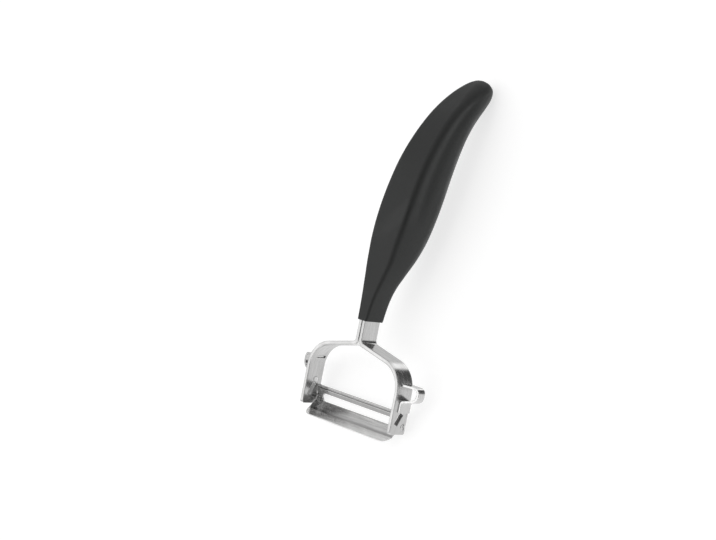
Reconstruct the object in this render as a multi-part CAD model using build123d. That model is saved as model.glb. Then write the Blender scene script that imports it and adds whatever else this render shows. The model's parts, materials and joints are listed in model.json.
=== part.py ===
from build123d import *
import math
import os

# A swivel-blade vegetable peeler. Every piece is drawn upright first: X runs along the blade,
# Y from front to back, Z up the neck, with zero near the bottom of the arms and at the straps' front edges.
# At the end everything is laid on its back, as it lies on a table.

# Bow of two bent straps
bow_width = 66.6
strap_width = 11.0
strap_thickness = 2.0
seam_gap = 0.3
shoulder_height = 38.3
shoulder_fall_degrees = 12.7
corner_radius = 14.0
neck_bend_radius = 3.0
strap_edge_radius = 0.35
arm_foot_height = -0.45
arm_foot_radius = 1.2

# Tangs inside the grip
tang_entry = 2.8
tang_length = 34.2
tang_front = 3.6
tang_back = 9.0
anchor_hole_radius = 1.5
anchor_below_top = 10.0
moulding_clearance = 0.04

# Weld in the crotch below the neck
weld_half_width = 3.4
weld_drop = 1.75
weld_sag = 0.5
weld_setback = 0.5

# Grip
grip_bottom = 50.1
grip_length = 128.5
grip_width = 23.8
grip_depth = 25.9
grip_set_back = 57.0
grip_edge_radius = 0.5
# Each station of the grip: height up the grip, set-back of its middle, width, depth and corner radius
grip_height_shares = (
    0, 0.048, 0.102, 0.157, 0.219, 0.289, 0.366, 0.452, 0.537,
    0.623, 0.708, 0.786, 0.848, 0.898, 0.936, 0.966, 0.987, 1,
)
grip_middle_shares = (
    0.101, 0.108, 0.120, 0.141, 0.178, 0.226, 0.274, 0.320, 0.367,
    0.420, 0.492, 0.577, 0.668, 0.764, 0.852, 0.929, 0.979, 1,
)
grip_width_shares = (
    0.283, 0.348, 0.448, 0.603, 0.773, 0.888, 0.966, 0.995, 0.985,
    0.955, 0.910, 0.848, 0.797, 0.742, 0.675, 0.580, 0.430, 0.200,
)
grip_depth_shares = (
    0.500, 0.510, 0.526, 0.563, 0.660, 0.835, 0.945, 0.990, 1,
    0.965, 0.900, 0.820, 0.745, 0.670, 0.600, 0.515, 0.380, 0.180,
)
grip_corner_shares = (
    0.200, 0.240, 0.260, 0.270, 0.280, 0.280, 0.280, 0.280, 0.290,
    0.300, 0.320, 0.340, 0.360, 0.380, 0.400, 0.430, 0.460, 0.480,
)

# Pivot of the blade in the arms
pivot_setback = 8.9
pivot_height = 3.3
lug_radius = 1.65
lug_clearance = 0.1
lug_proud = 0.15
lug_root = 1.6
lug_curl_radius = 0.56
lug_curl_gap = 0.42
lug_curl_start_degrees = 110
lug_curl_turn_degrees = 250

# Stop tab lanced inwards from each arm
stop_top_setback = 7.0
stop_top_height = 9.8
stop_foot_setback = 4.0
stop_foot_height = 4.0
stop_slot = 1.0
stop_reach = 1.1
stop_ramp = 1.7
stop_sink_share = 0.5

# Loop for digging out eyes, outside each arm
loop_thickness = 1.1
loop_reach = 8.8
loop_top = 24.5
loop_outer_foot = 18.3
loop_inner_foot = 16.2
loop_leg_bottom = 10.8
loop_top_radius = 2.6
loop_foot_radius = 3.6
loop_heel_radius = 1.2
loop_front = 3.0
loop_front_outer = 6.0
loop_back = 10.6
tongue_front = 3.6
tongue_back = 9.6
tongue_clearance = 0.05

# Plug weld through each arm, holding the loop's leg
plug_radius = 1.5
plug_setback = 6.2
plug_height = 12.4
plug_dome = 0.3
plug_rounding_share = 0.9

# Blade: one bent strip
blade_thickness = 0.8
blade_end_gap = 0.6
guard_top_setback = 8.7
guard_top_height = 10.0
guard_height = 3.6
guard_hem = 0.6
guard_groove = 0.45
guard_groove_turn_degrees = 45
guard_groove_drop = 1.3
bend_setback = 9.87
bend_height = 2.6
bend_radius = 2.5
crease_setback = 4.9
crease_height = -2.6
crease_radius = 1.0
lip_setback = 1.6
lip_height = -5.4
slot_end_web = 4.3
slot_corner_share = 0.45
cutting_edge_height = 2.3
bevel_width = 1.0
bevel_degrees = 60
bevel_setback_share = 0.7
lip_corner_length = 7.0

# Helpers for cuts and for picking edges
overrun = 5.0
nearly_share = 0.99


def band(path, thickness, front, back):
    """A bent strip whose side view is the path, from the front to the back plane."""
    section = Plane.XZ * trace(path, line_width=thickness)
    return Pos(0, front, 0) * extrude(section, amount=back - front, dir=(0, 1, 0))


def mirrored(piece):
    return piece.mirror(Plane.YZ)


half_strap = strap_thickness / 2
arm_outside = bow_width / 2
arm_inside = arm_outside - strap_thickness
neck_middle = seam_gap / 2 + half_strap
shoulder_slope = math.tan(math.radians(shoulder_fall_degrees))
corner_height = shoulder_height - shoulder_slope * (arm_outside - half_strap - neck_middle)
weld_bottom = shoulder_height - weld_drop
tang_shoulder_height = grip_bottom + tang_entry
tang_top = grip_bottom + tang_length
anchor_height = tang_top - anchor_below_top


def stop_direction():
    return Vector(0, stop_top_setback - stop_foot_setback, stop_top_height - stop_foot_height)


def stop_frame():
    """At the middle of the stop slot: X up the slot, Y rearwards across it, Z outwards through the arm."""
    middle = Vector(
        arm_outside,
        (stop_top_setback + stop_foot_setback) / 2,
        (stop_top_height + stop_foot_height) / 2,
    )
    up_the_slot = stop_direction().normalized()
    outwards = Vector(1, 0, 0)
    return Plane(origin=middle, x_dir=up_the_slot, z_dir=outwards)


def with_stop_tab(arm):
    """Cuts the slanted slot and presses the metal in front of it inwards as a ramp that stops the blade."""
    frame = stop_frame()
    length = stop_direction().length
    forwards = 1 if frame.y_dir.Y < 0 else -1
    half_slot = stop_slot / 2
    slot = Pos(0, 0, -half_strap) * Box(length, stop_slot, strap_thickness + overrun)
    ramp_start = forwards * (half_slot + stop_ramp)
    ramp_end = forwards * -half_slot
    groove = Polyline(
        (ramp_start, 0),
        (forwards * half_slot, -stop_reach),
        (ramp_end, -stop_reach),
        (ramp_end, strap_thickness),
        (ramp_start, strap_thickness),
        close=True,
    )
    tab = Polyline(
        (ramp_start, -strap_thickness * stop_sink_share),
        (forwards * half_slot, -stop_reach),
        (forwards * half_slot, -strap_thickness - stop_reach),
        (ramp_start, -strap_thickness),
        close=True,
    )
    across = Plane.YZ
    groove_solid = extrude(across * make_face(groove), amount=length / 2, both=True)
    tab_solid = extrude(across * make_face(tab), amount=length / 2, both=True)
    cut = frame.location * (slot + groove_solid)
    pressed = frame.location * tab_solid
    return arm - cut + pressed


def outline_edges(strap):
    """The edges round a strap's two broad sides, without the seams of its bends and the top of its tang."""
    kept = []
    for edge in strap.edges():
        along_y = abs(edge.tangent_at(0).Y) > nearly_share and edge.length > strap_width * nearly_share
        across = edge.geom_type == GeomType.LINE and edge.length * nearly_share < strap_thickness
        if not along_y and not across:
            kept.append(edge)
    return kept


def strap_blank():
    path = FilletPolyline(
        (neck_middle, tang_top),
        (neck_middle, shoulder_height),
        (arm_outside - half_strap, corner_height),
        (arm_outside - half_strap, arm_foot_height),
        radius=[neck_bend_radius, corner_radius],
    )
    strap = band(path, strap_thickness, 0, strap_width)
    foot_edges = strap.faces().sort_by(Axis.Z)[0].edges().filter_by(Axis.X)
    strap = fillet(foot_edges, arm_foot_radius)
    strap = fillet(outline_edges(strap), strap_edge_radius)
    waste = Pos(neck_middle, 0, tang_shoulder_height) * Box(
        strap_thickness * 2, strap_width * 2, tang_top, align=(Align.CENTER, Align.CENTER, Align.MIN)
    )
    return strap - (waste - tang_bar(strap_thickness * 2, 0))


def tang_bar(width, clearance):
    """A bar as wide as told that fills the depth of the narrowed tangs, grown by the clearance."""
    return Pos(0, (tang_front + tang_back) / 2, grip_bottom) * Box(
        width * 2,
        tang_back - tang_front + clearance * 2,
        tang_top + clearance - grip_bottom,
        align=(Align.CENTER, Align.CENTER, Align.MIN),
    )


def through_arm(radius, setback, height):
    """A round bar along X through the right arm."""
    bar = Cylinder(radius, strap_thickness + overrun, rotation=(0, 90, 0))
    return Pos(arm_outside - half_strap, setback, height) * bar


def tongue_bar(clearance, length):
    """The loop's tongue in the arm's slit, or with a clearance the slit itself."""
    bar = Box(
        length,
        tongue_back - tongue_front + clearance * 2,
        loop_thickness + clearance * 2,
        align=(Align.MAX, Align.CENTER, Align.CENTER),
    )
    return Pos(arm_outside, (tongue_front + tongue_back) / 2, loop_top) * bar


def anchor_bar(radius):
    middle = (tang_front + tang_back) / 2
    return Pos(0, middle, anchor_height) * Cylinder(radius, grip_width / 2, rotation=(0, 90, 0))


def right_strap():
    strap = strap_blank()
    strap = with_stop_tab(strap)
    strap -= through_arm(lug_radius + lug_clearance, pivot_setback, pivot_height)
    strap -= through_arm(plug_radius, plug_setback, plug_height)
    strap -= tongue_bar(tongue_clearance, strap_thickness * 2)
    return strap - anchor_bar(anchor_hole_radius)


def neck_weld():
    outline = Polyline(
        (-weld_half_width, weld_bottom),
        (0, shoulder_height + neck_bend_radius),
        (weld_half_width, weld_bottom),
    )
    sag = ThreePointArc((weld_half_width, weld_bottom), (0, weld_bottom + weld_sag), (-weld_half_width, weld_bottom))
    section = Plane.XZ * make_face([*outline.edges(), sag])
    depth = strap_width - weld_setback * 2
    weld = Pos(0, weld_setback, 0) * extrude(section, amount=depth, dir=(0, 1, 0))
    return weld - strap_blank() - mirrored(strap_blank())


def right_eye_loop():
    loop_outside = arm_outside + loop_reach - loop_thickness / 2
    leg = arm_outside + loop_thickness / 2
    path = FilletPolyline(
        (arm_inside, loop_top),
        (loop_outside, loop_top),
        (loop_outside, loop_outer_foot),
        (leg, loop_inner_foot),
        (leg, loop_leg_bottom),
        radius=[loop_top_radius, loop_foot_radius, loop_heel_radius],
    )
    ring = band(path, loop_thickness, loop_front, loop_back)
    taper = Polyline(
        (arm_outside, loop_front),
        (arm_outside + loop_reach, loop_front_outer),
        (arm_outside + loop_reach, loop_front - overrun),
        (arm_outside, loop_front - overrun),
        close=True,
    )
    ring -= extrude(make_face(taper), amount=loop_top + overrun)
    ring -= strap_blank()
    return ring + tongue_bar(0, strap_thickness)


def right_loop_plug():
    length = strap_thickness + plug_dome
    plug = Cylinder(plug_radius, length, rotation=(0, 90, 0))
    inner_edge = plug.edges().filter_by(GeomType.CIRCLE).sort_by(Axis.X)[0]
    plug = fillet(inner_edge, plug_dome * plug_rounding_share)
    return Pos(arm_outside - length / 2, plug_setback, plug_height) * plug


def grip_stations():
    """Middle point, tilt and section of the grip at each station, from its neck to its end."""
    points = [
        (grip_set_back * back, grip_bottom + grip_length * up)
        for back, up in zip(grip_middle_shares, grip_height_shares)
    ]
    stations = []
    for index, (setback, height) in enumerate(points):
        before = points[max(index - 1, 0)]
        after = points[min(index + 1, len(points) - 1)]
        tilt = math.atan2(after[0] - before[0], after[1] - before[1]) if index else 0
        stations.append((setback, height, tilt))
    return stations


def grip_blank():
    sections = []
    shares = zip(grip_stations(), grip_width_shares, grip_depth_shares, grip_corner_shares)
    for (setback, height, tilt), wide, deep, corner in shares:
        width = grip_width * wide
        depth = grip_depth * deep
        upwards = Vector(0, math.sin(tilt), math.cos(tilt))
        plane = Plane(origin=(0, setback, height), x_dir=(1, 0, 0), z_dir=upwards)
        sections.append(plane * RectangleRounded(width, depth, min(width, depth) * corner))
    return loft(sections)


def handle():
    grip = grip_blank()
    neck_edges = grip.faces().sort_by(Axis.Z)[0].edges()
    grip = fillet(neck_edges, grip_edge_radius)
    tangs_width = seam_gap + strap_thickness * 2 + moulding_clearance * 2
    mouth = Pos(0, strap_width / 2, tang_shoulder_height + moulding_clearance) * Box(
        tangs_width,
        strap_width + moulding_clearance * 2,
        tang_shoulder_height - grip_bottom + overrun,
        align=(Align.CENTER, Align.CENTER, Align.MAX),
    )
    pocket = mouth + tang_bar(tangs_width / 2, moulding_clearance)
    return grip - (pocket - anchor_bar(anchor_hole_radius - moulding_clearance))


def lug():
    """The curled end of the blade: a round bar with the gap of the curl as an S along it."""
    length = strap_thickness + blade_end_gap + lug_proud + lug_root
    upper_half = CenterArc((-lug_curl_radius, 0), lug_curl_radius, lug_curl_start_degrees, lug_curl_turn_degrees)
    lower_half = upper_half.rotate(Axis.Z, 180)
    curl = trace(upper_half, line_width=lug_curl_gap) + trace(lower_half, line_width=lug_curl_gap)
    rolled = Cylinder(lug_radius, length) - extrude(curl, amount=length, both=True)
    end = arm_outside + lug_proud
    turned = Rotation(0, 90, 0) * rolled
    return Pos(end - length / 2, pivot_setback, pivot_height) * turned


def blade():
    half_length = arm_inside - blade_end_gap
    slot_half_length = half_length - slot_end_web
    lean = (guard_top_setback - bend_setback) / (guard_top_height - bend_height)
    guard_foot = guard_top_height - guard_height
    guard_foot_setback = guard_top_setback - lean * guard_height
    path = FilletPolyline(
        (guard_top_setback, guard_top_height),
        (bend_setback, bend_height),
        (crease_setback, crease_height),
        (lip_setback, lip_height),
        radius=[bend_radius, crease_radius],
    )
    hem_line = Line((guard_top_setback, guard_top_height), (guard_foot_setback, guard_foot))
    section = trace(path, line_width=blade_thickness) + trace(hem_line, line_width=blade_thickness + guard_hem)
    strip = extrude(Plane.YZ * section, amount=half_length, both=True)

    groove_height = guard_top_height - guard_groove_drop
    groove_setback = guard_top_setback - lean * guard_groove_drop - (blade_thickness + guard_hem) / 2
    groove = Box(half_length * 2, guard_groove, guard_groove, rotation=(guard_groove_turn_degrees, 0, 0))
    strip -= Pos(0, groove_setback, groove_height) * groove

    slot_height = guard_foot - cutting_edge_height
    slot = Plane.XZ * Pos(0, cutting_edge_height + slot_height / 2) * RectangleRounded(
        slot_half_length * 2, slot_height, slot_height * slot_corner_share
    )
    strip -= Pos(0, guard_top_setback, 0) * extrude(slot, amount=overrun, both=True)

    face_tilt = math.degrees(math.atan2(bend_height - crease_height, bend_setback - crease_setback))
    edge_setback = crease_setback + (cutting_edge_height - crease_height) * (
        (bend_setback - crease_setback) / (bend_height - crease_height)
    )
    bevel = Pos(0, edge_setback + blade_thickness * bevel_setback_share, cutting_edge_height) * Box(
        slot_half_length * 2 - slot_height,
        blade_thickness,
        bevel_width * 2,
        rotation=(face_tilt - bevel_degrees, 0, 0),
    )
    strip -= bevel

    lip_drop = crease_height - lip_height + blade_thickness / 2
    corner = Rectangle(lip_corner_length + overrun, lip_drop + overrun, align=(Align.MIN, Align.MAX))
    corner -= Ellipse(lip_corner_length, lip_drop)
    corner = Plane.XZ * Pos(half_length - lip_corner_length, crease_height) * corner
    corner_cut = extrude(corner, amount=strap_width * 2, both=True)
    strip -= corner_cut
    strip -= mirrored(corner_cut)
    return strip + lug() + mirrored(lug())


def laid_down():
    """Turns the upright peeler onto its back: the rounded feet of the arms and the back of the grip carry it."""
    lay = 0.0
    for (setback, height, tilt), deep in zip(grip_stations(), grip_depth_shares):
        half_depth = grip_depth * deep / 2
        back = setback + half_depth * math.cos(tilt) - (strap_width - arm_foot_radius)
        level = height - half_depth * math.sin(tilt) - (arm_foot_height + arm_foot_radius)
        touching = math.atan2(back, level) - math.asin(arm_foot_radius / math.hypot(back, level))
        lay = max(lay, touching)
    return Plane(origin=(0, 0, 0), x_dir=(0, 1, 0), z_dir=(-math.cos(lay), 0, math.sin(lay))).location


pieces = {
    "handle": handle(),
    "right_strap": right_strap(),
    "neck_weld": neck_weld(),
    "right_eye_loop": right_eye_loop(),
    "right_loop_plug": right_loop_plug(),
    "blade": blade(),
}
for name in ("strap", "eye_loop", "loop_plug"):
    pieces["left_" + name] = mirrored(pieces["right_" + name])

lay_down = laid_down()
laid = {name: lay_down * piece for name, piece in pieces.items()}
boxes = [piece.bounding_box() for piece in laid.values()]
middle_x = (min(box.min.X for box in boxes) + max(box.max.X for box in boxes)) / 2
middle_y = (min(box.min.Y for box in boxes) + max(box.max.Y for box in boxes)) / 2
to_origin = Pos(-middle_x, -middle_y, -min(box.min.Z for box in boxes))

os.makedirs("parts", exist_ok=True)
for name, piece in laid.items():
    export_step(to_origin * piece, "parts/" + name + ".step")
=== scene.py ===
# %% [markdown]
# # A swivel-blade vegetable peeler
# The peeler is two bent steel straps that hold a slotted blade between their arms, with a curved plastic
# grip moulded over the straps' upper ends. The solid model gives the place and size of every piece. This
# script gives the pieces their surfaces, rebuilds the grip with a finer form than the solid shows, and sets
# up the floor, the light and the camera. Each step explains the real thing first, then the way chosen.

import json
import math

import bmesh
import bpy
from mathutils import Matrix, Vector


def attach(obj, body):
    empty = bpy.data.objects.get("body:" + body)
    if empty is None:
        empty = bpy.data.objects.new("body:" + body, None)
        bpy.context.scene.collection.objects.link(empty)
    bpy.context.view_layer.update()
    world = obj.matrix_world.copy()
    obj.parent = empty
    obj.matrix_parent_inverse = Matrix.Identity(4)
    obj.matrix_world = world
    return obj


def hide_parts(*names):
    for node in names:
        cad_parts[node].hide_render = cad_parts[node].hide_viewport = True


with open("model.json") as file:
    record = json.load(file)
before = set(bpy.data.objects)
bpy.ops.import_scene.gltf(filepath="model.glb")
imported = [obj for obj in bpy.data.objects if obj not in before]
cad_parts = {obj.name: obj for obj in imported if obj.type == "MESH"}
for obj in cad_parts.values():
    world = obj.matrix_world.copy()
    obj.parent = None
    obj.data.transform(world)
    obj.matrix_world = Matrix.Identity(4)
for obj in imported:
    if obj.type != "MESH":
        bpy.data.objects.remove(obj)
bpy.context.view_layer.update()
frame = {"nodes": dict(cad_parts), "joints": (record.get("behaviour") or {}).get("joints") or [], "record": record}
nodes = frame["nodes"]
record = frame["record"]
print("pieces in the solid model:", ", ".join(sorted(nodes)))

# %% [markdown]
# ## Two ways to hold the peeler
# The model lies on its back, as on a table. Its shapes are easier to describe with the peeler held upright:
# X runs along the blade, Y from front to back and Z up the neck, with zero near the bottom of the arms and
# at the straps' front edges. The joint gives the direction along the blade, and the flat end of an arm
# gives the direction down the neck, so the turn between the two ways comes from the model itself.

# %% Turn upright places into lying ones
MM = 0.001
PIVOT_SETBACK = 8.9
PIVOT_HEIGHT = 3.3

joint = frame["joints"][0]
foot = next(mount for mount in record["mounts"] if mount["name"] == "right_foot")
along_blade = Vector(joint["axis"]).normalized()
up_neck = -Vector(foot["axis"]).normalized()
to_back = up_neck.cross(along_blade)
upright_turn = Matrix((along_blade, to_back, up_neck)).transposed()
upright_zero = Vector(joint["pos_m"]) - upright_turn @ (Vector((0, PIVOT_SETBACK, PIVOT_HEIGHT)) * MM)


def laid(x, y, z):
    """The lying place, in metres, of an upright place in millimetres."""
    return upright_zero + upright_turn @ (Vector((x, y, z)) * MM)


def laid_direction(x, y, z):
    return (upright_turn @ Vector((x, y, z))).normalized()


lay_degrees = math.degrees(math.asin(up_neck.z))
print("the neck rises", round(lay_degrees, 2), "degrees from the table")

# %% [markdown]
# ## The camera
# The photograph looks at the front and the right side of the peeler, a little from above its arms, through
# a long lens and with the peeler tilted to the right. The position was worked out from the straight edges.

# %% Place the camera
CAMERA_PLACE = (627.2, -635.5, 147.3)
CAMERA_AZIMUTH = 45.05
CAMERA_ELEVATION = 4.67
CAMERA_ROLL = 11.06
SENSOR_WIDTH = 36.0
FOCAL_SHARE = 2.494
PHOTO_WIDTH = 716
PIXEL_SHIFT = 0.5
NEAR_LIMIT, FAR_LIMIT = 0.05, 20


def view_axes(azimuth, elevation, roll):
    """Right, up and backwards of a camera, in upright directions."""
    turn, lift, lean = (math.radians(angle) for angle in (azimuth, elevation, roll))
    level = Vector((math.cos(turn), math.sin(turn), 0))
    back = Vector((math.sin(turn) * math.cos(lift), -math.cos(turn) * math.cos(lift), math.sin(lift)))
    top = back.cross(level)
    right = level * math.cos(lean) + top * math.sin(lean)
    return right, top * math.cos(lean) - level * math.sin(lean), back


view_turn = Matrix([upright_turn @ axis for axis in view_axes(CAMERA_AZIMUTH, CAMERA_ELEVATION, CAMERA_ROLL)])
camera_data = bpy.data.cameras.new("camera")
camera_data.sensor_width = SENSOR_WIDTH
camera_data.lens = SENSOR_WIDTH * FOCAL_SHARE
camera_data.shift_x = -PIXEL_SHIFT / PHOTO_WIDTH
camera_data.shift_y = PIXEL_SHIFT / PHOTO_WIDTH
camera_data.clip_start = NEAR_LIMIT
camera_data.clip_end = FAR_LIMIT
camera = bpy.data.objects.new("camera", camera_data)
camera.matrix_world = Matrix.Translation(laid(*CAMERA_PLACE)) @ view_turn.transposed().to_4x4()
bpy.context.scene.collection.objects.link(camera)
bpy.context.scene.camera = camera
print("camera at", [round(value, 3) for value in camera.location])

# %% [markdown]
# ## Small helpers for shader nodes
# Every material here is a tree of nodes. These helpers add a node with its settings and link it, so that a
# material reads from top to bottom as a recipe.

# %% Helpers for node trees
def add_node(tree, kind, inputs=None, **settings):
    """Adds a node, sets its options and feeds its inputs with values or with other nodes' outputs."""
    node = tree.nodes.new(kind)
    for name, value in settings.items():
        setattr(node, name, value)
    for name, value in (inputs or {}).items():
        if isinstance(value, bpy.types.NodeSocket):
            tree.links.new(value, node.inputs[name])
        else:
            node.inputs[name].default_value = value
    return node


def math_node(tree, operation, first, second=0.0, clamp=False):
    node = add_node(tree, "ShaderNodeMath", {0: first, 1: second}, operation=operation, use_clamp=clamp)
    return node.outputs[0]


def weighted_sum(tree, first, first_share, second, second_share):
    """Adds two values, each times its share."""
    first_part = math_node(tree, "MULTIPLY", first, first_share)
    second_part = math_node(tree, "MULTIPLY", second, second_share)
    return math_node(tree, "ADD", first_part, second_part)


def ramp(tree, value, low, high, to_low=0.0, to_high=1.0):
    """Maps a value smoothly from one range to another."""
    limits = {"Value": value, "From Min": low, "From Max": high, "To Min": to_low, "To Max": to_high}
    return add_node(tree, "ShaderNodeMapRange", limits, interpolation_type="SMOOTHSTEP").outputs["Result"]


def blend_colour(tree, factor, first, second, blend_type="MIX"):
    node = add_node(tree, "ShaderNodeMix", data_type="RGBA", blend_type=blend_type)
    for slot, value in ((0, factor), (6, first), (7, second)):
        if isinstance(value, bpy.types.NodeSocket):
            tree.links.new(value, node.inputs[slot])
        else:
            node.inputs[slot].default_value = value
    return node.outputs[2]


def grey(value, warmth=0.0):
    return (value * (1 + warmth), value, value * (1 - warmth), 1)


def new_group(name, inputs, outputs):
    """A shader node group with named number or vector sockets."""
    tree = bpy.data.node_groups.new(name, "ShaderNodeTree")
    for label, kind, default in inputs:
        socket = tree.interface.new_socket(label, in_out="INPUT", socket_type="NodeSocket" + kind)
        if default is not None:
            socket.default_value = default
    for label, kind in outputs:
        tree.interface.new_socket(label, in_out="OUTPUT", socket_type="NodeSocket" + kind)
    return tree, tree.nodes.new("NodeGroupInput"), tree.nodes.new("NodeGroupOutput")


def use_group(tree, group, inputs):
    node = tree.nodes.new("ShaderNodeGroup")
    node.node_tree = group
    for name, value in inputs.items():
        if isinstance(value, bpy.types.NodeSocket):
            tree.links.new(value, node.inputs[name])
        else:
            node.inputs[name].default_value = value
    return node


# %% [markdown]
# ## Upright places inside a material
# Patterns such as brushing run along the blade or up a strap. Object coordinates give a point's lying place
# in metres. It is measured from the upright zero, and one Mapping node turns and scales it into upright
# millimetres. The steels and the plastic start so.

# %% Upright coordinates for a material
def upright_vector(tree):
    """Object coordinates turned into upright millimetres."""
    place = add_node(tree, "ShaderNodeTexCoord").outputs["Object"]
    moved = add_node(
        tree, "ShaderNodeVectorMath", {0: place, 1: upright_zero}, operation="SUBTRACT"
    ).outputs[0]
    turn = upright_turn.transposed().to_euler("XYZ")
    return add_node(
        tree, "ShaderNodeMapping", {"Vector": moved, "Rotation": turn, "Scale": (1 / MM,) * 3}
    ).outputs["Vector"]


def split(tree, vector):
    return add_node(tree, "ShaderNodeSeparateXYZ", {0: vector}).outputs


def stretched(tree, vector, scale):
    return add_node(
        tree, "ShaderNodeVectorMath", {0: vector, 1: scale}, operation="MULTIPLY"
    ).outputs[0]


# %% [markdown]
# ## Finishes that several materials share
# Rolled and ground steel shows fine parallel lines. Handling leaves soft smudges that change the gloss.
# Edges that rub on things get brighter and smoother. Each of these is one node group, built once, and the
# materials that need it use it with their own values.

# %% Group: fine lines of rolled or ground metal
COARSE_SCALE_SHARE = 0.21
FINE_SHARE, COARSE_SHARE = 0.6, 0.4
MASK_FROM, MASK_TO = 0.35, 0.65


def make_fine_lines():
    inputs = [("Vector", "Vector", None), ("Fineness", "Float", 6.0), ("Depth", "Float", 1.0)]
    tree, start, end = new_group("fine_lines", inputs, [("Height", "Float"), ("Mask", "Float")])
    fine = add_node(
        tree, "ShaderNodeTexNoise",
        {"Vector": start.outputs["Vector"], "Scale": start.outputs["Fineness"], "Detail": 3.0},
    ).outputs["Fac"]
    coarse_scale = math_node(tree, "MULTIPLY", start.outputs["Fineness"], COARSE_SCALE_SHARE)
    coarse = add_node(
        tree, "ShaderNodeTexNoise", {"Vector": start.outputs["Vector"], "Scale": coarse_scale, "Detail": 2.0}
    ).outputs["Fac"]
    both = weighted_sum(tree, fine, FINE_SHARE, coarse, COARSE_SHARE)
    tree.links.new(math_node(tree, "MULTIPLY", both, start.outputs["Depth"]), end.inputs["Height"])
    tree.links.new(ramp(tree, both, MASK_FROM, MASK_TO), end.inputs["Mask"])
    return tree


fine_lines = make_fine_lines()
print("group", fine_lines.name, "with", len(fine_lines.nodes), "nodes")


# %% Group: smudges from handling
# With no cover a smudge needs this much noise, and full cover takes off the share that follows
SMUDGE_LEVEL, COVER_SHARE = 0.75, 0.5
SMUDGE_SOFTNESS = 0.22


def make_smudges():
    inputs = [("Vector", "Vector", None), ("Size", "Float", 0.09), ("Cover", "Float", 0.5)]
    tree, start, end = new_group("smudges", inputs, [("Mask", "Float")])
    cloud = add_node(
        tree, "ShaderNodeTexNoise",
        {"Vector": start.outputs["Vector"], "Scale": start.outputs["Size"], "Detail": 4.0, "Distortion": 0.8},
    ).outputs["Fac"]
    lowered = math_node(tree, "MULTIPLY", start.outputs["Cover"], COVER_SHARE)
    low = math_node(tree, "SUBTRACT", SMUDGE_LEVEL, lowered)
    high = math_node(tree, "ADD", low, SMUDGE_SOFTNESS)
    tree.links.new(ramp(tree, cloud, low, high), end.inputs["Mask"])
    return tree


smudges = make_smudges()
print("group", smudges.name, "with", len(smudges.nodes), "nodes")


# %% Group: edges rounded and rubbed bright
BEVEL_SAMPLES = 6


def make_edge_wear():
    inputs = [("Radius", "Float", 0.0004), ("Reach", "Float", 0.08)]
    tree, start, end = new_group("edge_wear", inputs, [("Mask", "Float"), ("Normal", "Vector")])
    rounded = add_node(
        tree, "ShaderNodeBevel", {"Radius": start.outputs["Radius"]}, samples=BEVEL_SAMPLES
    ).outputs["Normal"]
    true = add_node(tree, "ShaderNodeNewGeometry").outputs["Normal"]
    closeness = add_node(
        tree, "ShaderNodeVectorMath", {0: rounded, 1: true}, operation="DOT_PRODUCT"
    ).outputs["Value"]
    away = math_node(tree, "SUBTRACT", 1.0, closeness)
    tree.links.new(ramp(tree, away, 0.0, start.outputs["Reach"]), end.inputs["Mask"])
    tree.links.new(rounded, end.inputs["Normal"])
    return tree


edge_wear = make_edge_wear()
print("group", edge_wear.name, "with", len(edge_wear.nodes), "nodes")


# %% [markdown]
# ## Stainless steel
# The straps, the loops and the blade are stainless strip with different finishes. All of them share one
# recipe: a metal base whose grey changes with the fine lines, a roughness that follows the lines and the
# smudges, and a shallow bump. What differs is the direction and fineness of the lines, the gloss, the grey
# and the depth of the bump.

# %% Material: steel with a chosen finish
def start_material(name):
    material = bpy.data.materials.new(name)
    material.use_nodes = True
    tree = material.node_tree
    tree.nodes.clear()
    shader = add_node(tree, "ShaderNodeBsdfPrincipled")
    output = add_node(tree, "ShaderNodeOutputMaterial")
    tree.links.new(shader.outputs[0], output.inputs["Surface"])
    return material, tree, shader


STEEL_WARMTH = 0.004
RUBBED_SHARE, RUBBED_BRIGHTNESS = 0.5, 1.18
# Painted shade on front edges: how far a face must turn to the front, and the grey it darkens towards
RIM_SHADE_FACING = (0.5, 0.8)
RIM_SHADE_TONE = 0.3
GLOSS_CHANGE = 0.06
LINE_DEPTH = 0.00004


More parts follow.
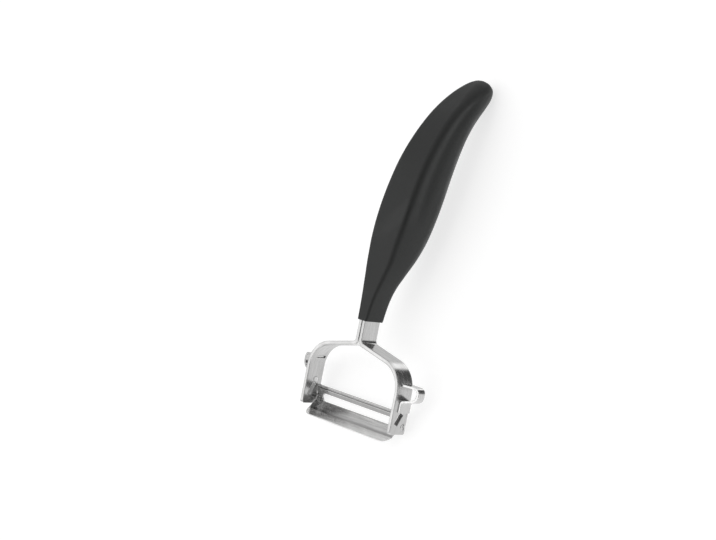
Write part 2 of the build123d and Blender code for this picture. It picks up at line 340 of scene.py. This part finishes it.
def make_steel(name, light, dark, rough_low, rough_high, lines, bump, shade=None, painted_rim_shade=0.0):
    """Steel whose lines are stretched by the three numbers in lines, in upright directions.

    The shade gives painted shade or highlight to multiply the tone; the border paints shade on front edges.
    """
    material, tree, shader = start_material(name)
    upright = upright_vector(tree)
    brushed = stretched(tree, upright, lines)
    line = use_group(tree, fine_lines, {"Vector": brushed, "Fineness": 1.0, "Depth": 1.0})
    smudge = use_group(tree, smudges, {"Vector": upright, "Size": 0.11, "Cover": 0.45})
    edge = use_group(tree, edge_wear, {"Radius": 0.0005, "Reach": 0.06})
    dark_grey, light_grey = grey(dark, STEEL_WARMTH), grey(light, STEEL_WARMTH)
    tone = blend_colour(tree, line.outputs["Mask"], dark_grey, light_grey)
    rubbed = math_node(tree, "MULTIPLY", edge.outputs["Mask"], RUBBED_SHARE)
    tone = blend_colour(tree, rubbed, tone, grey(light * RUBBED_BRIGHTNESS))
    # Painted shade: edges of front-facing faces darkened towards a dark grey
    if painted_rim_shade:
        outwards = add_node(tree, "ShaderNodeTexCoord").outputs["Normal"]
        forwards = laid_direction(0, -1, 0)
        facing = add_node(
            tree, "ShaderNodeVectorMath", {0: outwards, 1: forwards}, operation="DOT_PRODUCT"
        ).outputs["Value"]
        on_front = math_node(tree, "MULTIPLY", ramp(tree, facing, *RIM_SHADE_FACING), edge.outputs["Mask"])
        darkened = math_node(tree, "MULTIPLY", on_front, painted_rim_shade)
        tone = blend_colour(tree, darkened, tone, grey(dark * RIM_SHADE_TONE))
    # A shade function paints shade, and on the blade a highlight too, into the tone
    if shade:
        tone = blend_colour(tree, 1.0, tone, shade(tree, upright), "MULTIPLY")
    tree.links.new(tone, shader.inputs["Base Color"])
    rough = ramp(tree, line.outputs["Mask"], 0.0, 1.0, rough_high, rough_low)
    dulled = math_node(tree, "MULTIPLY", smudge.outputs["Mask"], GLOSS_CHANGE)
    rough = math_node(tree, "ADD", rough, dulled)
    polished = math_node(tree, "MULTIPLY", edge.outputs["Mask"], GLOSS_CHANGE)
    rough = math_node(tree, "SUBTRACT", rough, polished, clamp=True)
    tree.links.new(rough, shader.inputs["Roughness"])
    shader.inputs["Metallic"].default_value = 1.0
    relief_inputs = {"Height": line.outputs["Height"], "Strength": bump, "Distance": LINE_DEPTH}
    relief = add_node(tree, "ShaderNodeBump", {**relief_inputs, "Normal": edge.outputs["Normal"]})
    tree.links.new(relief.outputs[0], shader.inputs["Normal"])
    return material


# %% [markdown]
# ## Painted shade and highlight on the blade
# The blade is one strip with a groove in its guard bar, a wide face, a crease and a turned lip. In the
# photograph the face gets darker towards the crease, the lip is bright and the groove is a dark line, all
# from the way light falls on the bends, and these are painted into the tone as shade and a highlight. How
# far a point lies up the face from the crease gives the first two, and its height at the guard the third.

# %% Painted shade and highlight along the blade's bends
CREASE_SETBACK, CREASE_HEIGHT = 4.9, -2.6
FACE_SETBACK, FACE_HEIGHT = 9.87, 2.6
FACE_FADE = (0.1, 2.0)
LIP_FADE = (-0.5, -0.15)
# Painted shade towards the crease and a painted highlight on the lip, as shares of the tone
CREASE_PAINTED_SHADE, LIP_PAINTED_HIGHLIGHT = 0.64, 1.12
GROOVE_HEIGHT = 8.7
GROOVE_REACH = 0.4
# Painted shade in the guard's groove, as the share taken off the tone
GROOVE_PAINTED_SHADE = 0.55
GUARD_MIDDLE_SETBACK = 8.7
GUARD_FADE = 0.2


def blade_painted_shade_and_highlight(tree, upright):
    """Painted shade towards the crease and in the guard's groove, and a painted highlight on the turned lip."""
    _, setback, height = split(tree, upright)
    face = Vector((FACE_SETBACK - CREASE_SETBACK, FACE_HEIGHT - CREASE_HEIGHT)).normalized()
    along = math_node(tree, "SUBTRACT", setback, CREASE_SETBACK)
    rise = math_node(tree, "SUBTRACT", height, CREASE_HEIGHT)
    from_crease = weighted_sum(tree, along, face.x, rise, face.y)
    on_face = ramp(tree, from_crease, *FACE_FADE, CREASE_PAINTED_SHADE, 1.0)
    on_lip = ramp(tree, from_crease, *LIP_FADE, LIP_PAINTED_HIGHLIGHT, CREASE_PAINTED_SHADE)
    bends = math_node(tree, "MAXIMUM", on_face, on_lip)
    from_groove = math_node(tree, "ABSOLUTE", math_node(tree, "SUBTRACT", height, GROOVE_HEIGHT))
    in_groove = ramp(tree, from_groove, GROOVE_REACH / 2, GROOVE_REACH, 1.0, 0.0)
    in_front = ramp(tree, setback, GUARD_MIDDLE_SETBACK - GUARD_FADE, GUARD_MIDDLE_SETBACK, 1.0, 0.0)
    darkening = math_node(tree, "MULTIPLY", in_front, GROOVE_PAINTED_SHADE)
    groove = math_node(tree, "SUBTRACT", 1.0, math_node(tree, "MULTIPLY", in_groove, darkening))
    return math_node(tree, "MULTIPLY", bends, groove)


print("blade face from the crease at height", CREASE_HEIGHT, "to the bend at", FACE_HEIGHT)


# %% [markdown]
# ## Shade inside the slots of the arms
# Lancing a stop tab out of an arm leaves a slanted slot through it. Little light reaches the slot's walls,
# and they look dark in the photograph. A box along the slot picks out its walls, with a narrow rim on the
# inside of the arm, and in that box the tone gets darker from the outside of the arm inwards.

# %% Shade inside the slots left by the stop tabs
SLOT_MIDDLE_SETBACK, SLOT_MIDDLE_HEIGHT = 5.5, 6.9
SLOT_RISE = Vector((3.0, 5.8)).normalized()
SLOT_HALF_LENGTH, SLOT_HALF_WIDTH = 3.7, 0.75
SLOT_FADE = 0.1
ARM_OUTSIDE, ARM_INSIDE = 33.3, 31.3
DEEPEST_INSET = 0.6
SLOT_TONE = 0.55


def within(tree, value, limit):
    """One where a value lies within the limit on both sides of zero, and zero beyond it."""
    return ramp(tree, math_node(tree, "ABSOLUTE", value), limit - SLOT_FADE, limit, 1.0, 0.0)


def recess_shade(tree, upright):
    """Darker with depth inside the slots, where little light reaches the steel."""
    across, setback, height = split(tree, upright)
    back = math_node(tree, "SUBTRACT", setback, SLOT_MIDDLE_SETBACK)
    up = math_node(tree, "SUBTRACT", height, SLOT_MIDDLE_HEIGHT)
    along = weighted_sum(tree, back, SLOT_RISE.x, up, SLOT_RISE.y)
    beside = weighted_sum(tree, back, SLOT_RISE.y, up, -SLOT_RISE.x)
    in_length = within(tree, along, SLOT_HALF_LENGTH)
    in_width = within(tree, beside, SLOT_HALF_WIDTH)
    from_middle = math_node(tree, "ABSOLUTE", across)
    deepest, shallowest = ARM_INSIDE + DEEPEST_INSET, ARM_OUTSIDE - SLOT_FADE
    depth = ramp(tree, from_middle, deepest, shallowest, 1.0 - SLOT_TONE, 0.0)
    inside = math_node(tree, "MULTIPLY", math_node(tree, "MULTIPLY", in_length, in_width), depth)
    return math_node(tree, "SUBTRACT", 1.0, inside)


print("slots", 2 * SLOT_HALF_LENGTH, "mm long shaded down to", SLOT_TONE, "of the tone")


# %% [markdown]
# ## The four steels
# The straps have lines along the strip, round the bow. The loops have the same lines and are a little
# brighter. The blade is ground along its length, and the weld metal is paler and rougher, with no direction.
# The front edges of the straps show a thin dark line of shade in the photograph, so only the straps get
# that shade, painted along their front edges.

# %% The four steels
STRAP_LINES = (0.15, 2.4, 0.15)
BLADE_LINES = (0.08, 2.6, 2.6)
WELD_LINES = (2.5, 2.5, 2.5)
# How strongly the painted shade darkens the straps' front edges
STRAP_RIM_SHADE = 0.6
strap_steel = make_steel(
    "rolled_strip", 0.67, 0.56, 0.16, 0.26, STRAP_LINES, 0.35, shade=recess_shade, painted_rim_shade=STRAP_RIM_SHADE
)
loop_steel = make_steel("bright_strip", 0.72, 0.64, 0.15, 0.24, STRAP_LINES, 0.3)
blade_steel = make_steel("ground_strip", 0.70, 0.56, 0.15, 0.26, BLADE_LINES, 0.4, blade_painted_shade_and_highlight)
weld_steel = make_steel("weld_metal", 0.74, 0.66, 0.28, 0.40, WELD_LINES, 0.8)
print("steels:", strap_steel.name, loop_steel.name, blade_steel.name, weld_steel.name)

# %% Give the steel pieces their finish
FINISHES = {
    "left_strap": strap_steel,
    "right_strap": strap_steel,
    "left_eye_loop": loop_steel,
    "right_eye_loop": loop_steel,
    "left_loop_plug": weld_steel,
    "right_loop_plug": weld_steel,
    "neck_weld": weld_steel,
    "blade": blade_steel,
}


def dress(piece, material):
    piece.data.materials.clear()
    piece.data.materials.append(material)


for name, material in FINISHES.items():
    dress(nodes[name], material)
    print(name, "gets", material.name)

# %% [markdown]
# ## Black moulded plastic
# The grip is black with a fine matt grain. Where the palm rubs it, the plastic is a little glossier. The
# grain is a fine noise in the tone, the bump and the roughness, and small pits are added to the bump.

# %% Material: grained plastic
PLASTIC_DARK = (0.0080, 0.0090, 0.0086, 1)
PLASTIC_LIGHT = (0.0130, 0.0143, 0.0137, 1)
PLASTIC_EDGE = 0.02
EDGE_SHARE = 0.4
PIT_SHARE = 0.5
DULL, RUBBED = 0.56, 0.47
GRAIN_ROUGHNESS = 0.06
GRAIN_BUMP, GRAIN_DEPTH = 0.45, 0.00012


def make_grip_plastic():
    material, tree, shader = start_material("grained_plastic")
    upright = upright_vector(tree)
    grain = add_node(
        tree, "ShaderNodeTexNoise", {"Vector": upright, "Scale": 2.6, "Detail": 4.0}
    ).outputs["Fac"]
    pits = add_node(tree, "ShaderNodeTexVoronoi", {"Vector": upright, "Scale": 2.2}).outputs["Distance"]
    height = math_node(tree, "ADD", grain, math_node(tree, "MULTIPLY", pits, PIT_SHARE))
    palm = use_group(tree, smudges, {"Vector": upright, "Size": 0.035, "Cover": 0.55})
    edge = use_group(tree, edge_wear, {"Radius": 0.0008, "Reach": 0.05})
    tone = blend_colour(tree, ramp(tree, grain, MASK_FROM, MASK_TO), PLASTIC_DARK, PLASTIC_LIGHT)
    on_edge = math_node(tree, "MULTIPLY", edge.outputs["Mask"], EDGE_SHARE)
    tone = blend_colour(tree, on_edge, tone, grey(PLASTIC_EDGE))
    tree.links.new(tone, shader.inputs["Base Color"])
    rough = ramp(tree, palm.outputs["Mask"], 0.0, 1.0, DULL, RUBBED)
    rough = math_node(tree, "ADD", rough, math_node(tree, "MULTIPLY", grain, GRAIN_ROUGHNESS))
    tree.links.new(rough, shader.inputs["Roughness"])
    shader.inputs["Specular IOR Level"].default_value = 0.5
    relief = add_node(
        tree, "ShaderNodeBump", {"Height": height, "Strength": GRAIN_BUMP, "Distance": GRAIN_DEPTH}
    )
    tree.links.new(relief.outputs[0], shader.inputs["Normal"])
    return material


grip_plastic = make_grip_plastic()
print("plastic:", grip_plastic.name)

# %% [markdown]
# ## The grip
# The grip is one moulding that swells from a narrow neck, curves back and ends in a round tip. Its section
# is a rounded rectangle. In the solid model it is a loft through a few stations. Here the same stations are
# joined by smooth curves and the surface gets many rings, so that long reflections run without a break.
#
# The section differs from the solid's too. Its front corners are sharper, which leaves a ridge. Their
# middles stay in place, so the front face lies about a millimetre further back. The sides swell a little,
# and a shallow flute runs behind the ridge of the upper half. Every ring has its own section and tilt,
# which a curve with one profile doesn't give, so the mesh is built ring by ring.

# %% Stations of the grip
GRIP_BOTTOM = 50.1
GRIP_LENGTH = 128.5
GRIP_WIDTH = 23.8
GRIP_DEPTH = 25.9
GRIP_SET_BACK = 57.0
# Each station: height up the grip, set-back of its middle, width, depth and corner radius, all as shares
STATION_SHARES = (
    (0.000, 0.101, 0.283, 0.500, 0.20),
    (0.048, 0.108, 0.348, 0.510, 0.24),
    (0.102, 0.120, 0.448, 0.526, 0.26),
    (0.157, 0.141, 0.603, 0.563, 0.27),
    (0.219, 0.178, 0.773, 0.660, 0.28),
    (0.289, 0.226, 0.888, 0.835, 0.28),
    (0.366, 0.274, 0.966, 0.945, 0.28),
    (0.452, 0.320, 0.995, 0.990, 0.28),
    (0.537, 0.367, 0.985, 1.000, 0.29),
    (0.623, 0.420, 0.955, 0.965, 0.30),
    (0.708, 0.492, 0.910, 0.900, 0.32),
    (0.786, 0.577, 0.848, 0.820, 0.34),
    (0.848, 0.668, 0.797, 0.745, 0.36),
    (0.898, 0.764, 0.742, 0.670, 0.38),
    (0.936, 0.852, 0.675, 0.600, 0.40),
    (0.966, 0.929, 0.580, 0.515, 0.43),
    (0.987, 0.979, 0.430, 0.380, 0.46),
    (1.000, 1.000, 0.200, 0.180, 0.48),
)


def smooth_value(row, spot):
    """A value between the stations, on a smooth curve through the four nearest ones."""
    index = min(int(spot), len(row) - 2)
    part = spot - index
    before = row[max(index - 1, 0)]
    here, there = row[index], row[index + 1]
    after = row[min(index + 2, len(row) - 1)]
    slope_here = (there - before) / 2
    slope_there = (after - here) / 2
    square, cube = part * part, part ** 3
    return (
        here * (2 * cube - 3 * square + 1)
        + slope_here * (cube - 2 * square + part)
        + there * (3 * square - 2 * cube)
        + slope_there * (cube - square)
    )


columns = list(zip(*STATION_SHARES))
print(len(STATION_SHARES), "stations from the neck to the tip")

# %% Rings of the grip
GRIP_RINGS = 150
CORNER_STEPS = 12
SIDE_STEPS = 22
# A corner of another radius keeps its middle where it was if its sides move by this share of the change
CORNER_SHARE = 1 - math.sqrt(0.5)
SHARP_RADIUS = 0.8
SHARP_SHARE = 0.3
BLUNT_FROM_SHARE, BLUNT_TO_SHARE = 0.84, 0.97
SIDE_SWELL_SHARE = 0.02
TILT_STEP = 0.02
FLUTE_DEPTH_SHARE = 0.030
FLUTE_PLACE_SHARE = 0.285
FLUTE_SPREAD_SHARE = 0.115
FLUTE_IN_SHARES = (0.36, 0.55)
FLUTE_OUT_SHARES = (0.86, 0.98)


def eased(value, low, high):
    """Rises smoothly from zero at low to one at high."""
    part = max(0.0, min(1.0, (value - low) / (high - low)))
    return part * part * (3 - 2 * part)


def rounded_section(width, depth, corner, up):
    """Points round the grip's section, counter-clockwise from the start of its back right corner."""
    sharp = min(corner, SHARP_RADIUS + SHARP_SHARE * corner)
    front_radius = sharp + (corner - sharp) * eased(up, BLUNT_FROM_SHARE, BLUNT_TO_SHARE)
    drawn = CORNER_SHARE * (corner - front_radius)
    swell = width * SIDE_SWELL_SHARE
    back_radius = corner + swell / CORNER_SHARE / 2
    front, back = -(depth / 2 - drawn), depth / 2
    corners = (
        (1, back, -1, back_radius),
        (-1, back, -1, back_radius),
        (-1, front, 1, front_radius),
        (1, front, 1, front_radius),
    )
    points = []
    for index, (across, edge, inwards, radius) in enumerate(corners):
        centre = Vector((across * (width / 2 - radius), edge + inwards * radius))
        for step in range(CORNER_STEPS + 1):
            angle = (index + step / CORNER_STEPS) * math.pi / 2
            points.append(centre + Vector((math.cos(angle), math.sin(angle))) * radius)
        across, edge, inwards, radius = corners[(index + 1) % 4]
        goal = Vector((across * (width / 2 - radius), edge + inwards * radius))
        turn = (index + 1) * math.pi / 2
        goal = goal + Vector((math.cos(turn), math.sin(turn))) * radius
        for step in range(1, SIDE_STEPS):
            points.append(points[-1].lerp(goal, 1 / (SIDE_STEPS + 1 - step)))
    flute = eased(up, *FLUTE_IN_SHARES) * (1 - eased(up, *FLUTE_OUT_SHARES)) * FLUTE_DEPTH_SHARE * depth
    for point in points:
        behind_front = point.y - front
        run = max(0.0, 1 - behind_front / (back - back_radius - front))
        dip = flute * math.exp(-(((behind_front / depth - FLUTE_PLACE_SHARE) / FLUTE_SPREAD_SHARE) ** 2))
        point.x *= 1 + (swell - (swell + drawn) * run * run - dip) / (width / 2)
    return points


def grip_ring(spot):
    """One ring of the grip as upright points."""
    up, back, wide, deep, corner = (smooth_value(column, spot) for column in columns)
    ahead, behind = min(spot + TILT_STEP, len(STATION_SHARES) - 1), max(spot - TILT_STEP, 0)
    rise = (smooth_value(columns[0], ahead) - smooth_value(columns[0], behind)) * GRIP_LENGTH
    lean = (smooth_value(columns[1], ahead) - smooth_value(columns[1], behind)) * GRIP_SET_BACK
    tilt = math.atan2(lean, rise) * min(spot, 1)
    width, depth = GRIP_WIDTH * wide, GRIP_DEPTH * deep
    ring = []
    for point in rounded_section(width, depth, min(width, depth) * corner, up):
        setback = GRIP_SET_BACK * back + point.y * math.cos(tilt)
        height = GRIP_BOTTOM + GRIP_LENGTH * up - point.y * math.sin(tilt)
        ring.append((point.x, setback, height))
    return ring


# %% Build the grip's mesh
RIM_RADIUS = 0.5
RIM_STEPS = 4


def skin(name, rings, material):
    """Joins rings of upright points into a closed mesh."""
    form = bmesh.new()
    rows = [[form.verts.new(laid(*point)) for point in ring] for ring in rings]
    for lower, upper in zip(rows, rows[1:]):
        for index in range(len(lower)):
            following = (index + 1) % len(lower)
            form.faces.new((lower[index], lower[following], upper[following], upper[index]))
    for row in (rows[0], rows[-1]):
        middle = form.verts.new(sum((vert.co for vert in row), Vector()) / len(row))
        for index in range(len(row)):
            form.faces.new((row[index], row[(index + 1) % len(row)], middle))
    bmesh.ops.recalc_face_normals(form, faces=form.faces)
    mesh = bpy.data.meshes.new(name)
    form.to_mesh(mesh)
    form.free()
    mesh.shade_smooth()
    piece = bpy.data.objects.new(name, mesh)
    bpy.context.scene.collection.objects.link(piece)
    dress(piece, material)
    return piece


def shrunk(ring, inset, height):
    """The ring drawn in by an inset towards its middle, at another height."""
    middle = sum((Vector(point) for point in ring), Vector()) / len(ring)
    result = []
    for x, y, _ in ring:
        away = Vector((x - middle.x, y - middle.y))
        away = away * (1 - inset / away.length)
        result.append((middle.x + away.x, middle.y + away.y, height))
    return result


def make_grip():
    last = len(STATION_SHARES) - 1
    rings = [grip_ring(last * index / GRIP_RINGS) for index in range(GRIP_RINGS + 1)]
    rim = []
    for step in range(RIM_STEPS + 1):
        angle = math.pi / 2 * step / RIM_STEPS
        inset = RIM_RADIUS * (1 - math.sin(angle))
        rim.append(shrunk(rings[0], inset, GRIP_BOTTOM + RIM_RADIUS * (1 - math.cos(angle))))
    body = [ring for ring in rings if min(point[2] for point in ring) > GRIP_BOTTOM + RIM_RADIUS]
    return skin("grip", rim + body, grip_plastic)


grip = make_grip()
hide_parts("handle")
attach(grip, "frame")
print("grip:", len(grip.data.vertices), "points and", len(grip.data.polygons), "faces")

# %% [markdown]
# ## Floor and light
# The peeler lies on a plain pale floor that fills the picture. The floor glows, so that shadows stay
# faint, and it is hidden from reflections, as a photographer hides the table with cards of their own.
# What the steel reflects instead is the sky all round the peeler: an even pale grey with lighter and darker
# cards in chosen directions.

# %% Floor
FLOOR_SIDE = 6.0
FLOOR_GAP = 0.0002
FLOOR_GLOW = 0.69
FLOOR_DARK, FLOOR_LIGHT = 0.46, 0.48
FLOOR_ROUGHNESS = 0.9


def make_floor():
    material, tree, shader = start_material("floor")
    place = add_node(tree, "ShaderNodeTexCoord").outputs["Object"]
    cloud = add_node(
        tree, "ShaderNodeTexNoise", {"Vector": place, "Scale": 3.0, "Detail": 2.0}
    ).outputs["Fac"]
    tone = blend_colour(tree, cloud, grey(FLOOR_DARK), grey(FLOOR_LIGHT))
    tree.links.new(tone, shader.inputs["Base Color"])
    shader.inputs["Roughness"].default_value = FLOOR_ROUGHNESS
    shader.inputs["Emission Color"].default_value = grey(1.0)
    shader.inputs["Emission Strength"].default_value = FLOOR_GLOW
    form = bmesh.new()
    bmesh.ops.create_grid(form, x_segments=1, y_segments=1, size=FLOOR_SIDE / 2)
    bmesh.ops.translate(form, verts=form.verts, vec=(0, 0, -FLOOR_GAP))
    mesh = bpy.data.meshes.new("floor")
    form.to_mesh(mesh)
    form.free()
    floor = bpy.data.objects.new("floor", mesh)
    bpy.context.scene.collection.objects.link(floor)
    floor.visible_glossy = False
    dress(floor, material)
    return floor


floor = make_floor()
print(floor.name, FLOOR_SIDE, "m wide")

# %% Sky with cards
SKY_LEVEL = 0.85
# Each card: direction in the lying model, inner and outer angle in degrees, and its brightness
CARDS = {
    "window": ((0.27, -0.70, 0.67), 12, 42, 1.30),
    "guard_shade": ((0.56, -0.70, 0.45), 6, 15, 0.50),
    "upper_front": ((0.40, -0.09, 0.91), 10, 26, 1.40),
    "left_light": ((0.10, -0.99, 0.06), 10, 30, 0.70),
    "edge_shade": ((-0.45, -0.70, 0.55), 7, 14, 0.05),
    "behind_camera": ((0.11, 0.70, 0.70), 8, 46, 0.02),
    "low_right": ((-0.08, 0.69, -0.72), 14, 30, 0.80),
    "underneath": ((-0.17, 0.15, -0.97), 8, 34, 1.70),
    "shoulder": ((-0.58, -0.57, -0.58), 10, 22, 0.70),
    "corner_light": ((-0.84, -0.20, -0.51), 5, 14, 1.35),
    "corner_shade": ((-0.76, 0.32, -0.55), 15, 22, 0.07),
    "tongue_shade": ((-0.52, 0.60, -0.61), 9, 14, 0.10),
    "arm_shade": ((-0.61, 0.70, 0.37), 13, 24, 0.08),
    "blade_light": ((0.62, 0.76, -0.18), 14, 32, 1.60),
    "right_light": ((0.93, -0.30, -0.21), 15, 40, 1.60),
    "below_left": ((0.49, -0.08, -0.87), 10, 34, 0.95),
}


def make_sky():
    world = bpy.data.worlds.new("sky")
    world.use_nodes = True
    tree = world.node_tree
    tree.nodes.clear()
    direction = add_node(tree, "ShaderNodeTexCoord").outputs["Generated"]
    level = SKY_LEVEL
    for towards, inner, outer, bright in CARDS.values():
        middle = Vector(towards).normalized()
        near = add_node(
            tree, "ShaderNodeVectorMath", {0: direction, 1: middle}, operation="DOT_PRODUCT"
        ).outputs["Value"]
        mask = ramp(tree, near, math.cos(math.radians(outer)), math.cos(math.radians(inner)))
        level = add_node(tree, "ShaderNodeMix", {0: mask, 2: level, 3: bright}).outputs[0]
    background = add_node(tree, "ShaderNodeBackground", {"Color": level, "Strength": 1.0})
    output = add_node(tree, "ShaderNodeOutputWorld")
    tree.links.new(background.outputs[0], output.inputs["Surface"])
    bpy.context.scene.world = world
    return world


sky = make_sky()
bpy.context.scene.view_settings.view_transform = "Standard"
print(sky.name, "with cards:", ", ".join(CARDS))
